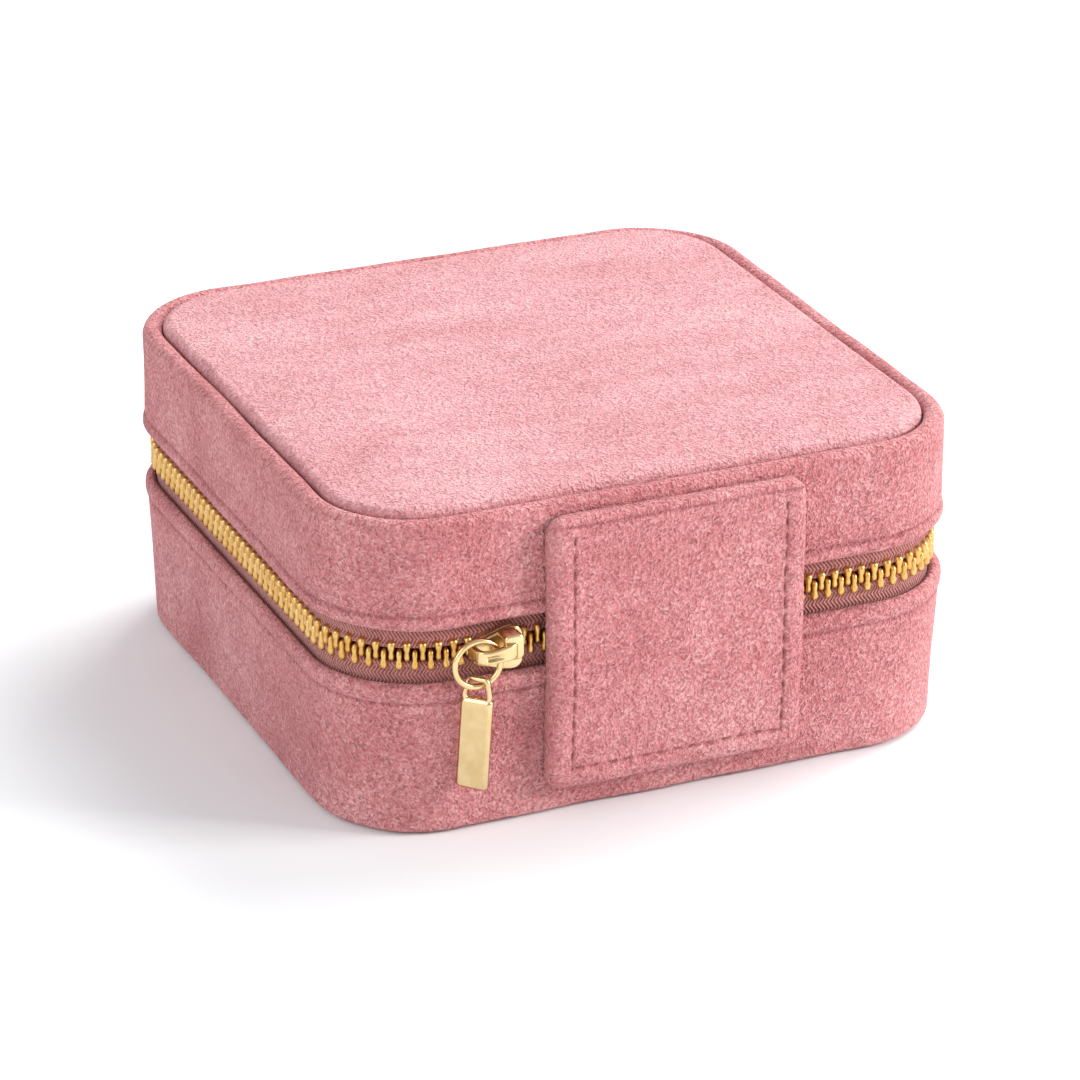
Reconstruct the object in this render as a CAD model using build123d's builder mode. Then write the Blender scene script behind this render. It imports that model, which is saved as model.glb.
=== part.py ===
from build123d import *
import math
import os

# Zipped velvet travel jewelry box, closed.
# Origin: centre of the underside. +Z up, +X to the right of the hinge side, hinge side at -Y.
# All sizes in millimetres.

# ---- overall box ----
WIDTH = 100.0
DEPTH = 100.0
CORNER_RADIUS = 17.0
BASE_TAPER = 1.0
BASE_LIP_Z = 24.2
LID_LIP_Z = 32.5
LID_RIM_Z = 49.2
ZIP_Z = (BASE_LIP_Z + LID_LIP_Z) / 2

# ---- wall layers, from the outside in ----
WRAP = 1.6
TAPE = 0.6
WALL_BOARD = 2.0
LINING = 0.8
TAPE_OFFSET = WRAP
BOARD_OFFSET = TAPE_OFFSET + TAPE
LINING_OFFSET = BOARD_OFFSET + WALL_BOARD
CAVITY_OFFSET = LINING_OFFSET + LINING
LINING_LIP_DROP = 0.2

# ---- base ----
BOTTOM_PANEL = 1.6
BOTTOM_PANEL_OFFSET = 3.5
WRAP_FOOT_GAP = 0.3
WRAP_FOOT_FILLET = 1.0
FLOOR_BOARD = 1.6
BASE_FLOOR_Z = BOTTOM_PANEL + FLOOR_BOARD + LINING

# ---- lid ----
RIM_WIDTH = 3.2
RIM_HEIGHT = 2.0
RIM_FILLET = 1.8
TOP_BOARD = 1.6
TOP_CROWN = 1.0
TOP_COVER = 0.9
TOP_COVER_FILLET = 1.6
TOP_PAD_INSET = 1.2
SEAM_GAP = 0.1
LID_CEILING_Z = LID_RIM_Z - RIM_HEIGHT - TOP_BOARD - LINING
MIRROR_THICKNESS = 1.8
MIRROR_RADIUS = 6.0
MIRROR_LAP = 2.0
FRAME_MARGIN = 7.0
FRAME_WALL_GAP = 7.0
FRAME_FACE = 0.8

# ---- zip ----
TAPE_DEPTH = 8.0
TAPE_EDGE_GAP = 2.1
TOOTH_PITCH = 2.15
TOOTH_WIDTH = 0.85
TOOTH_THICKNESS = 2.4
TOOTH_HEIGHT = 3.0
TOOTH_OVERLAP = 1.7
TAPE_CLEARANCE = 0.05
CHAIN_END_COVER = 1.4
STOP_WIDTH = 1.6
STOP_HEIGHT = 1.9
STOP_GAP = 0.5
CHAIN_OFFSET = TAPE_OFFSET + TAPE / 2

# ---- hinge panel ----
PANEL_WIDTH = 40.0
PANEL_PROUD = 3.0
PANEL_BOTTOM_Z = 4.9
PANEL_TOP_Z = 47.5
PANEL_CORNER = 2.2
PANEL_SKIN = 0.9
PANEL_SPLIT = 0.3
STRIP_GAP = 0.2
STRIP_DEPTH = 11.0

# ---- slider, ring and pull tab ----
SLIDER_LENGTH = 7.6
SLIDER_WIDTH = 6.6
SLIDER_PARK_GAP = 3.4
SLIDER_PLATE = 0.9
SLIDER_CORNER = 1.6
CHAIN_CLEARANCE = 0.25
FLANGE = 0.8
TAPE_SLOT = 1.3
POST_LENGTH = 1.2
POST_HEIGHT = 1.3
BRIDGE_LENGTH = 6.4
BRIDGE_WIDTH = 2.2
BRIDGE_THICKNESS = 1.0
BRIDGE_GAP = 2.8
BRIDGE_LEG = 1.1
BRIDGE_RISE = 0.5
SLIDER_TRAVEL_LEFT = 2.5
SLIDER_TRAVEL_RIGHT = 3.0
SLIDER_NOTCH_GAP = 0.3
RING_RADIUS = 3.5
RING_WIRE = 0.43
RING_DROP = 0.65
RING_PAST_TAIL = -0.16
RING_STANDOFF = 1.8
RING_PIVOT_INSET = 0.35
TAB_TWIST = 45.0
TAB_WIDTH = 4.9
TAB_THICKNESS = 1.2
TAB_LENGTH = 16.2
TAB_BEVEL = 0.35
TAB_CORNER_CUT = 0.7
EYE_WIDTH = 3.4
EYE_CLEARANCE = 0.3
EYE_BAR = 1.0
EYE_TOP_WIDTH = 3.9

# ---- inside fittings ----
DIVIDER = 2.4
DIVIDER_HEIGHT = 16.0
LONG_DIVIDER_X = -1.0
FITTING_GAP = 0.3
ROLL_COUNT = 6
ROLL_HEIGHT = 15.5
ROLL_SQUASH = 0.1
COMPARTMENTS = 3

os.makedirs("parts", exist_ok=True)


def outline(inset, mode=Mode.ADD):
    """Rounded square of the walls, moved in by inset on every side."""
    RectangleRounded(WIDTH - 2 * inset, DEPTH - 2 * inset, CORNER_RADIUS - inset, mode=mode)


def band(outer, inner):
    """Ring between two insets of the wall outline."""
    outline(outer)
    outline(inner, mode=Mode.SUBTRACT)


def save(builder, label):
    """Labels the finished piece and writes it as its own STEP file."""
    builder.part.label = label
    export_step(builder.part, f"parts/{label}.step")
    print(label, round(builder.part.volume, 2), "mm3")


def wall_ring(label, outer, inner, low, high):
    """Straight-sided ring of one wall layer between two heights."""
    with BuildPart() as ring:
        with BuildSketch(Plane.XY.offset(low)):
            band(outer, inner)
        extrude(amount=high - low)
    save(ring, label)


def plate(label, inset, low, high):
    """Flat board of the wall outline."""
    with BuildPart() as board:
        with BuildSketch(Plane.XY.offset(low)):
            outline(inset)
        extrude(amount=high - low)
    save(board, label)


# ---------------------------------------------------------------- base shell
taper_angle = math.degrees(math.atan(BASE_TAPER / BASE_LIP_Z))

with BuildPart() as base_wrap:
    with BuildSketch(Plane.XY.offset(BASE_LIP_Z)):
        outline(0)
    extrude(amount=-(BASE_LIP_Z - WRAP_FOOT_GAP), taper=taper_angle)
    foot_edges = base_wrap.faces().sort_by(Axis.Z)[0].edges()
    fillet(foot_edges, radius=WRAP_FOOT_FILLET)
    with BuildSketch(Plane.XY.offset(BOTTOM_PANEL)):
        outline(WRAP)
    extrude(amount=BASE_LIP_Z - BOTTOM_PANEL, mode=Mode.SUBTRACT)
    with BuildSketch(Plane.XY):
        outline(BOTTOM_PANEL_OFFSET)
    extrude(amount=BOTTOM_PANEL, mode=Mode.SUBTRACT)
save(base_wrap, "base_wrap")

plate("base_bottom_panel", BOTTOM_PANEL_OFFSET, 0, BOTTOM_PANEL)
wall_board_foot_z = BOTTOM_PANEL + FLOOR_BOARD
plate("base_floor_board", WRAP, BOTTOM_PANEL, wall_board_foot_z)

lower_tape_low = BASE_LIP_Z - TAPE_DEPTH
lower_tape_high = ZIP_Z - TAPE_EDGE_GAP / 2
upper_tape_low = ZIP_Z + TAPE_EDGE_GAP / 2
upper_tape_high = LID_LIP_Z + TAPE_DEPTH
base_lining_lip_z = BASE_LIP_Z - LINING_LIP_DROP
base_board_top_z = base_lining_lip_z - LINING
wall_ring("base_wall_board", BOARD_OFFSET, LINING_OFFSET, wall_board_foot_z, base_board_top_z)
wall_ring("base_wall_foam", WRAP, BOARD_OFFSET, wall_board_foot_z, lower_tape_low)

with BuildPart() as base_lining:
    with BuildSketch(Plane.XY.offset(wall_board_foot_z)):
        outline(LINING_OFFSET)
    extrude(amount=base_lining_lip_z - wall_board_foot_z)
    with BuildSketch(Plane.XY.offset(base_board_top_z)):
        outline(BOARD_OFFSET)
    extrude(amount=LINING)
    with BuildSketch(Plane.XY.offset(BASE_FLOOR_Z)):
        outline(CAVITY_OFFSET)
    extrude(amount=BASE_LIP_Z - BASE_FLOOR_Z, mode=Mode.SUBTRACT)
save(base_lining, "base_lining")

# ---------------------------------------------------------------- lid shell
lid_board_top_z = LID_RIM_Z - RIM_HEIGHT
lid_board_low_z = lid_board_top_z - TOP_BOARD
lid_lining_lip_z = LID_LIP_Z + LINING_LIP_DROP
lid_board_foot_z = lid_lining_lip_z + LINING

with BuildPart() as lid_wrap:
    with BuildSketch(Plane.XY.offset(LID_LIP_Z)):
        outline(0)
    extrude(amount=LID_RIM_Z - LID_LIP_Z)
    rim_edges = lid_wrap.faces().sort_by(Axis.Z)[-1].edges()
    fillet(rim_edges, radius=RIM_FILLET)
    with BuildSketch(Plane.XY.offset(LID_LIP_Z)):
        outline(WRAP)
    extrude(amount=lid_board_top_z - LID_LIP_Z, mode=Mode.SUBTRACT)
    with BuildSketch(Plane.XY.offset(lid_board_top_z)):
        outline(RIM_WIDTH)
    extrude(amount=RIM_HEIGHT, mode=Mode.SUBTRACT)
save(lid_wrap, "lid_wrap")

plate("lid_top_board", WRAP, lid_board_low_z, lid_board_top_z)
wall_ring("lid_wall_board", BOARD_OFFSET, LINING_OFFSET, lid_board_foot_z, lid_board_low_z)
wall_ring("lid_wall_foam", WRAP, BOARD_OFFSET, upper_tape_high, lid_board_low_z)

top_cover_offset = RIM_WIDTH + SEAM_GAP
top_pad_offset = top_cover_offset + TOP_PAD_INSET
crown_z = LID_RIM_Z + TOP_CROWN
top_pad_z = crown_z - TOP_COVER
plate("lid_top_pad", top_pad_offset, lid_board_top_z, top_pad_z)

with BuildPart() as lid_top_cover:
    with BuildSketch(Plane.XY.offset(lid_board_top_z)):
        outline(top_cover_offset)
    extrude(amount=crown_z - lid_board_top_z)
    crown_edges = lid_top_cover.faces().sort_by(Axis.Z)[-1].edges()
    fillet(crown_edges, radius=TOP_COVER_FILLET)
    with BuildSketch(Plane.XY.offset(lid_board_top_z)):
        outline(top_pad_offset)
    extrude(amount=top_pad_z - lid_board_top_z, mode=Mode.SUBTRACT)
save(lid_top_cover, "lid_top_cover")

with BuildPart() as lid_lining:
    with BuildSketch(Plane.XY.offset(lid_lining_lip_z)):
        outline(LINING_OFFSET)
    extrude(amount=lid_board_low_z - lid_lining_lip_z)
    with BuildSketch(Plane.XY.offset(lid_lining_lip_z)):
        outline(BOARD_OFFSET)
    extrude(amount=LINING)
    with BuildSketch(Plane.XY.offset(lid_lining_lip_z)):
        outline(CAVITY_OFFSET)
    extrude(amount=LID_CEILING_Z - lid_lining_lip_z, mode=Mode.SUBTRACT)
save(lid_lining, "lid_lining")

mirror_low_z = LID_CEILING_Z - MIRROR_THICKNESS
frame_low_z = mirror_low_z - FRAME_FACE
frame_side = min(WIDTH, DEPTH) - 2 * (CAVITY_OFFSET + FRAME_WALL_GAP)
mirror_side = frame_side - 2 * FRAME_MARGIN
window_side = mirror_side - 2 * MIRROR_LAP

with BuildPart() as lid_mirror:
    with BuildSketch(Plane.XY.offset(mirror_low_z)):
        RectangleRounded(mirror_side, mirror_side, MIRROR_RADIUS)
    extrude(amount=MIRROR_THICKNESS)
save(lid_mirror, "lid_mirror")

with BuildPart() as mirror_frame:
    with BuildSketch(Plane.XY.offset(frame_low_z)):
        RectangleRounded(frame_side, frame_side, MIRROR_RADIUS + FRAME_MARGIN)
        RectangleRounded(window_side, window_side, MIRROR_RADIUS - MIRROR_LAP, mode=Mode.SUBTRACT)
    extrude(amount=FRAME_FACE)
    with BuildSketch(Plane.XY.offset(mirror_low_z)):
        RectangleRounded(frame_side, frame_side, MIRROR_RADIUS + FRAME_MARGIN)
        RectangleRounded(mirror_side, mirror_side, MIRROR_RADIUS, mode=Mode.SUBTRACT)
    extrude(amount=MIRROR_THICKNESS)
save(mirror_frame, "mirror_frame")

# ---------------------------------------------------------------- zip
hinge_face_y = -DEPTH / 2
chain_end_x = PANEL_WIDTH / 2 - CHAIN_END_COVER
tape_end_x = chain_end_x - TOOTH_PITCH - STOP_WIDTH
slider_nose_x = -PANEL_WIDTH / 2 - SLIDER_PARK_GAP
slider_tail_x = slider_nose_x - SLIDER_LENGTH
slider_mid_x = (slider_tail_x + slider_nose_x) / 2
sweep_left_x = slider_tail_x - SLIDER_TRAVEL_LEFT - SLIDER_NOTCH_GAP
sweep_right_x = slider_nose_x + SLIDER_TRAVEL_RIGHT + SLIDER_NOTCH_GAP
sweep_mid_x = (sweep_left_x + sweep_right_x) / 2
slider_half_width = SLIDER_WIDTH / 2
sweep_top_z = ZIP_Z + slider_half_width + SLIDER_NOTCH_GAP / 2
tape_band_y = hinge_face_y + TAPE_OFFSET + TAPE / 2


def tape_ring(label, low, high, notch_top_z):
    """Zip tape all round, open behind the hinge panel, and notched over the slider's travel."""
    with BuildPart() as tape:
        with BuildSketch(Plane.XY.offset(low)):
            band(TAPE_OFFSET, BOARD_OFFSET)
        extrude(amount=high - low)
        with BuildSketch(Plane.XY.offset(low)):
            with Locations((0, tape_band_y)):
                Rectangle(2 * tape_end_x, WALL_BOARD)
        extrude(amount=high - low, mode=Mode.SUBTRACT)
        if notch_top_z > low:
            with BuildSketch(Plane.XY.offset(low)):
                with Locations((sweep_mid_x, tape_band_y)):
                    Rectangle(sweep_right_x - sweep_left_x, 2 * WALL_BOARD)
            extrude(amount=notch_top_z - low, mode=Mode.SUBTRACT)
    save(tape, label)


tape_ring("zip_tape_lower", lower_tape_low, lower_tape_high, lower_tape_low)
tape_ring("zip_tape_upper", upper_tape_low, upper_tape_high, sweep_top_z)

chain_straight_x = WIDTH / 2 - CORNER_RADIUS
chain_straight_y = DEPTH / 2 - CORNER_RADIUS
chain_radius = CORNER_RADIUS - CHAIN_OFFSET
chain_face = DEPTH / 2 - CHAIN_OFFSET
chain_side = WIDTH / 2 - CHAIN_OFFSET
arc_length = chain_radius * math.pi / 2


def chain_frame(distance):
    """Point and heading, in degrees, at a distance along the chain from the right end of the zip.

    The chain runs right along the hinge side, round the right, far and left sides, and back.
    """
    runs = [
        (chain_straight_x - chain_end_x, (chain_end_x, -chain_face), 0),
        (2 * chain_straight_y, (chain_side, -chain_straight_y), 90),
        (2 * chain_straight_x, (chain_straight_x, chain_face), 180),
        (2 * chain_straight_y, (-chain_side, chain_straight_y), 270),
        (chain_straight_x - chain_end_x, (-chain_straight_x, -chain_face), 360),
    ]
    rest = distance
    for length, start, heading in runs:
        direction = math.radians(heading)
        along = (math.cos(direction), math.sin(direction))
        if rest <= length:
            return start[0] + rest * along[0], start[1] + rest * along[1], heading
        rest -= length
        if rest <= arc_length:
            turn = rest / chain_radius
            end = (start[0] + length * along[0], start[1] + length * along[1])
            forward = chain_radius * math.sin(turn)
            inward = chain_radius * (1 - math.cos(turn))
            x = end[0] + forward * along[0] - inward * along[1]
            y = end[1] + forward * along[1] + inward * along[0]
            return x, y, heading + math.degrees(turn)
        rest -= arc_length
    raise ValueError("distance is past the end of the chain")


chain_length = 2 * (chain_straight_x - chain_end_x) + 4 * chain_straight_y
chain_length += 2 * chain_straight_x + 4 * arc_length
tooth_count = int((chain_length - TOOTH_PITCH / 2) / TOOTH_PITCH)


def tooth_outline(tip_z, direction):
    """Side view of one tooth: a head with two legs clamped over the edge of the tape."""
    half = TOOTH_THICKNESS / 2
    slot = TAPE / 2 + TAPE_CLEARANCE
    foot_z = tip_z - direction * TOOTH_HEIGHT
    edge_z = ZIP_Z - direction * (TAPE_EDGE_GAP / 2 - TAPE_CLEARANCE)
    return [
        (-half, tip_z),
        (half, tip_z),
        (half, foot_z),
        (slot, foot_z),
        (slot, edge_z),
        (-slot, edge_z),
        (-slot, foot_z),
        (-half, foot_z),
    ]


def tooth_planes(first):
    """One upright plane across the chain for each tooth of a row."""
    planes = []
    for index in range(tooth_count):
        x, y, heading = chain_frame(first + index * TOOTH_PITCH)
        turn = math.radians(heading)
        across = (math.sin(turn), -math.cos(turn), 0)
        planes.append(Plane(origin=(x, y, 0), x_dir=across, z_dir=(-math.cos(turn), -math.sin(turn), 0)))
    return planes


def in_slider_sweep(plane):
    """True where the slider stands over the chain anywhere in its travel."""
    beside = sweep_left_x < plane.origin.X < sweep_right_x
    return beside and plane.origin.Y < -chain_straight_y


lower_planes = tooth_planes(TOOTH_PITCH / 4)
upper_planes = [plane for plane in tooth_planes(3 * TOOTH_PITCH / 4) if not in_slider_sweep(plane)]

def tooth_row(label, planes, side_view):
    """One row of teeth, each a separate solid on its own plane."""
    with BuildPart() as teeth:
        for plane in planes:
            with BuildSketch(plane):
                with BuildLine():
                    Polyline(*side_view, close=True)
                make_face()
        extrude(amount=TOOTH_WIDTH / 2, both=True)
    save(teeth, label)


tooth_row("zip_teeth_lower", lower_planes, tooth_outline(ZIP_Z + TOOTH_OVERLAP / 2, 1))
tooth_row("zip_teeth_upper", upper_planes, tooth_outline(ZIP_Z - TOOTH_OVERLAP / 2, -1))


def stop_pair(label, direction):
    """Two crimped stops, one on each end of a tape's edge."""
    stop_x = chain_end_x - TOOTH_PITCH / 2 - STOP_WIDTH / 2
    near_z = ZIP_Z + direction * STOP_GAP / 2
    stop_z = near_z + direction * STOP_HEIGHT / 2
    edge_z = ZIP_Z + direction * (TAPE_EDGE_GAP / 2 - TAPE_CLEARANCE)
    slot_z = edge_z + direction * STOP_HEIGHT / 2
    with BuildPart() as stops:
        with Locations((-stop_x, tape_band_y, stop_z), (stop_x, tape_band_y, stop_z)):
            Box(STOP_WIDTH, TOOTH_THICKNESS, STOP_HEIGHT)
        with Locations((-stop_x, tape_band_y, slot_z), (stop_x, tape_band_y, slot_z)):
            Box(2 * STOP_WIDTH, TAPE + 2 * TAPE_CLEARANCE, STOP_HEIGHT, mode=Mode.SUBTRACT)
    save(stops, label)


stop_pair("zip_stops_lower", -1)
stop_pair("zip_stops_upper", 1)

# ---------------------------------------------------------------- hinge panel
panel_face_y = hinge_face_y - PANEL_PROUD
panel_foot_setback = BASE_TAPER * (BASE_LIP_Z - PANEL_BOTTOM_Z) / BASE_LIP_Z
lower_panel_top_z = ZIP_Z - PANEL_SPLIT / 2
upper_panel_low_z = ZIP_Z + PANEL_SPLIT / 2
panel_half = PANEL_WIDTH / 2


def lower_panel_outline(skin):
    """Side view of the lower panel half, which follows the taper of the base wall."""
    foot_setback = panel_foot_setback * (1 - skin / (BASE_LIP_Z - PANEL_BOTTOM_Z))
    return [
        (panel_face_y + skin, lower_panel_top_z - skin),
        (hinge_face_y, lower_panel_top_z - skin),
        (hinge_face_y, BASE_LIP_Z),
        (hinge_face_y + foot_setback, PANEL_BOTTOM_Z + skin),
        (panel_face_y + skin + foot_setback, PANEL_BOTTOM_Z + skin),
        (panel_face_y + skin, BASE_LIP_Z),
    ]


def upper_panel_outline(skin):
    """Side view of the upper panel half."""
    return [
        (panel_face_y + skin, upper_panel_low_z + skin),
        (hinge_face_y, upper_panel_low_z + skin),
        (hinge_face_y, PANEL_TOP_Z - skin),
        (panel_face_y + skin, PANEL_TOP_Z - skin),
    ]


def panel_half_pair(name, side_view, rounded_corners):
    """Velvet skin and stiff board of one half of the hinge panel."""
    with BuildPart() as board:
        with BuildSketch(Plane.YZ):
            with BuildLine():
                Polyline(*side_view(PANEL_SKIN), close=True)
            make_face()
        extrude(amount=panel_half - PANEL_SKIN, both=True)
    save(board, f"hinge_board_{name}")
    with BuildPart() as cover:
        with BuildSketch(Plane.YZ):
            with BuildLine():
                Polyline(*side_view(0), close=True)
            make_face()
        extrude(amount=panel_half, both=True)
        across_edges = cover.edges().filter_by(Axis.Y)
        fillet(across_edges.sort_by(Axis.Z)[rounded_corners], radius=PANEL_CORNER)
        add(board.part, mode=Mode.SUBTRACT)
    save(cover, f"hinge_panel_{name}")


panel_half_pair("lower", lower_panel_outline, slice(0, 2))
panel_half_pair("upper", upper_panel_outline, slice(-2, None))


def hinge_strip(label, low, high):
    """Lining strip that closes the wall behind the hinge panel."""
    with BuildPart() as strip:
        with BuildSketch(Plane.XY.offset(low)):
            with Locations((0, tape_band_y)):
                Rectangle(2 * (tape_end_x - STRIP_GAP), TAPE)
        extrude(amount=high - low)
    save(strip, label)


hinge_strip("hinge_strip_lower", ZIP_Z - STRIP_DEPTH, lower_panel_top_z)
hinge_strip("hinge_strip_upper", upper_panel_low_z, ZIP_Z + STRIP_DEPTH)

# ---------------------------------------------------------------- slider
half_chain = TOOTH_THICKNESS / 2 + CHAIN_CLEARANCE
front_plate_y = tape_band_y - half_chain - SLIDER_PLATE / 2
back_plate_y = tape_band_y + half_chain + SLIDER_PLATE / 2
plate_face_y = front_plate_y - SLIDER_PLATE / 2
flange_depth = half_chain - TAPE_SLOT / 2
flange_shift = half_chain - flange_depth / 2
flange_z = slider_half_width - FLANGE / 2
bridge_x = slider_mid_x + (SLIDER_LENGTH - BRIDGE_LENGTH) / 2 - BRIDGE_LEG
bridge_z = ZIP_Z + BRIDGE_RISE
bridge_face_y = plate_face_y - BRIDGE_GAP - BRIDGE_THICKNESS
leg_shift = (BRIDGE_LENGTH - BRIDGE_LEG) / 2

with BuildPart() as slider_body:
    for plate_y in (front_plate_y, back_plate_y):
        with BuildSketch(Plane.XZ.offset(-plate_y)):
            with Locations((slider_mid_x, ZIP_Z)):
                RectangleRounded(SLIDER_LENGTH, SLIDER_WIDTH, SLIDER_CORNER)
        extrude(amount=SLIDER_PLATE / 2, both=True)
    for side in (-1, 1):
        for inner_y in (tape_band_y - flange_shift, tape_band_y + flange_shift):
            with Locations((slider_mid_x, inner_y, ZIP_Z + side * flange_z)):
                Box(SLIDER_LENGTH - 2 * SLIDER_CORNER, flange_depth, FLANGE)
    post_x = slider_nose_x - POST_LENGTH / 2 - SLIDER_PLATE / 2
    post_z = ZIP_Z + TOOTH_OVERLAP / 2 + CHAIN_CLEARANCE + POST_HEIGHT / 2
    with Locations((post_x, tape_band_y, post_z)):
        Box(POST_LENGTH, 2 * half_chain, POST_HEIGHT)
    with Locations((bridge_x, bridge_face_y + BRIDGE_THICKNESS / 2, bridge_z)):
        Box(BRIDGE_LENGTH, BRIDGE_THICKNESS, BRIDGE_WIDTH)
    leg_y = (bridge_face_y + plate_face_y) / 2
    with Locations((bridge_x - leg_shift, leg_y, bridge_z), (bridge_x + leg_shift, leg_y, bridge_z)):
        Box(BRIDGE_LEG, plate_face_y - bridge_face_y, BRIDGE_WIDTH)
save(slider_body, "slider_body")

ring_centre_x = slider_tail_x + RING_PAST_TAIL
ring_y = plate_face_y - RING_STANDOFF
ring_centre_z = ZIP_Z - RING_DROP

with BuildPart() as pull_ring:
    with BuildSketch(Plane.XY.offset(ring_centre_z)):
        with Locations((ring_centre_x + RING_RADIUS, ring_y)):
            Circle(RING_WIRE)
    ring_axis = Axis((ring_centre_x, ring_y, ring_centre_z), (0, 1, 0))
    revolve(axis=ring_axis, revolution_arc=360)
save(pull_ring, "pull_ring")

twist = math.radians(TAB_TWIST)
tab_wire_z = ring_centre_z - RING_RADIUS
tab_plane = Plane(
    origin=(ring_centre_x, ring_y, tab_wire_z),
    x_dir=(math.cos(twist), -math.sin(twist), 0),
    z_dir=(-math.sin(twist), -math.cos(twist), 0),
)
eye_half_height = RING_WIRE + EYE_CLEARANCE
shoulder_y = -eye_half_height - EYE_CLEARANCE
tab_foot_y = -TAB_LENGTH
eye_top_y = eye_half_height + EYE_BAR
tab_half = TAB_WIDTH / 2

with BuildPart() as pull_tab:
    with BuildSketch(tab_plane):
        with BuildLine():
            Polyline(
                (-tab_half, shoulder_y),
                (-EYE_TOP_WIDTH / 2, eye_top_y),
                (EYE_TOP_WIDTH / 2, eye_top_y),
                (tab_half, shoulder_y),
                (tab_half, tab_foot_y + TAB_CORNER_CUT),
                (tab_half - TAB_CORNER_CUT, tab_foot_y),
                (-tab_half + TAB_CORNER_CUT, tab_foot_y),
                (-tab_half, tab_foot_y + TAB_CORNER_CUT),
                close=True,
            )
        make_face()
    extrude(amount=TAB_THICKNESS / 2, both=True)
    front_edges = pull_tab.faces().sort_by(Axis(tab_plane.origin, tab_plane.z_dir))[-1].edges()
    back_edges = pull_tab.faces().sort_by(Axis(tab_plane.origin, tab_plane.z_dir))[0].edges()
    chamfer(front_edges + back_edges, length=TAB_BEVEL)
    with BuildSketch(tab_plane):
        with Locations((0, (eye_half_height + shoulder_y) / 2)):
            Rectangle(EYE_WIDTH, eye_half_height - shoulder_y)
    extrude(amount=TAB_THICKNESS, both=True, mode=Mode.SUBTRACT)
save(pull_tab, "pull_tab")

# ---------------------------------------------------------------- inside fittings
cavity_half_x = WIDTH / 2 - CAVITY_OFFSET
cavity_half_y = DEPTH / 2 - CAVITY_OFFSET
divider_right_x = LONG_DIVIDER_X + DIVIDER / 2

with BuildPart() as divider_long:
    with BuildSketch(Plane.XY.offset(BASE_FLOOR_Z)):
        with Locations((LONG_DIVIDER_X, 0)):
            Rectangle(DIVIDER, 2 * (cavity_half_y - FITTING_GAP))
    extrude(amount=DIVIDER_HEIGHT)
save(divider_long, "divider_long")

cross_length = cavity_half_x - FITTING_GAP - divider_right_x
cross_pitch = 2 * cavity_half_y / COMPARTMENTS
for index in range(1, COMPARTMENTS):
    with BuildPart() as divider_cross:
        with BuildSketch(Plane.XY.offset(BASE_FLOOR_Z)):
            with Locations((divider_right_x + cross_length / 2, -cavity_half_y + index * cross_pitch)):
                Rectangle(cross_length, DIVIDER)
        extrude(amount=DIVIDER_HEIGHT)
    save(divider_cross, f"divider_cross_{index}")

roll_zone_left_x = -cavity_half_x + FITTING_GAP
roll_zone_right_x = LONG_DIVIDER_X - DIVIDER / 2 - FITTING_GAP
roll_length = roll_zone_right_x - roll_zone_left_x
roll_pitch = 2 * (cavity_half_y - FITTING_GAP) / ROLL_COUNT
roll_width = roll_pitch - ROLL_SQUASH
roll_top_radius = roll_width / 2 - ROLL_SQUASH
roll_foot_radius = roll_width / 4

for index in range(ROLL_COUNT):
    roll_y = -cavity_half_y + FITTING_GAP + (index + 0.5) * roll_pitch
    with BuildPart() as ring_roll:
        with BuildSketch(Plane.YZ.offset(roll_zone_left_x)):
            with Locations((roll_y, BASE_FLOOR_Z + ROLL_HEIGHT / 2)):
                roll_face = Rectangle(roll_width, ROLL_HEIGHT)
            corners = roll_face.vertices().sort_by(Axis.Z)
            fillet(corners[2:], radius=roll_top_radius)
            fillet(corners[:2], radius=roll_foot_radius)
        extrude(amount=roll_length)
        with BuildSketch(Plane.XY.offset(BASE_FLOOR_Z)):
            outline(CAVITY_OFFSET + FITTING_GAP)
        extrude(amount=ROLL_HEIGHT, mode=Mode.INTERSECT)
    save(ring_roll, f"ring_roll_{index + 1}")

print("axis of the lid hinge: y", panel_face_y, "z", ZIP_Z)
print("ring hinge x", ring_centre_x + RING_RADIUS - RING_PIVOT_INSET, "y", ring_y)
print("tab hinge z", tab_wire_z, "teeth in a row", tooth_count)
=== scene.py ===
import math

import bpy
import numpy as np
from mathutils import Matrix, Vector


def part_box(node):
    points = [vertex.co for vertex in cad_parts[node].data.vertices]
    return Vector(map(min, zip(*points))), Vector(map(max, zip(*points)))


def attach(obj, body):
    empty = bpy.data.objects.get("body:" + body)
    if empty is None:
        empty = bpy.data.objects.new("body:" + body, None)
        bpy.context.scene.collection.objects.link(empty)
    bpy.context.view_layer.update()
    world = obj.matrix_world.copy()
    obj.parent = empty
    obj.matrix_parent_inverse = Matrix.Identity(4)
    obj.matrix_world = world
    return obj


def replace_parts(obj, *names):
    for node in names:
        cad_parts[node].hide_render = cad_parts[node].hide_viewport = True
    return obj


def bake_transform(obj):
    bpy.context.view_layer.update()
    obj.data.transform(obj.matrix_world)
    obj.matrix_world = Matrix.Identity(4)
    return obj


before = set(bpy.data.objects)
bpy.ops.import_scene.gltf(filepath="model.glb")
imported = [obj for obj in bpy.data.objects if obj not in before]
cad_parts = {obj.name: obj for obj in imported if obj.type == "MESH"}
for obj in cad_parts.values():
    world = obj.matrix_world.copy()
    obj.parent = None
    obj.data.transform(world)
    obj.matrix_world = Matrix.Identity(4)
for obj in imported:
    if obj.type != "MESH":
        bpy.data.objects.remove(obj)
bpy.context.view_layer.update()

# Zipped velvet travel jewelry box. Metres, with the origin at the middle of the underside, +Z up,
# and the hinge panel and the zip slider on the -Y side. Profiles are written in millimetres.

MM = 0.001

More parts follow.
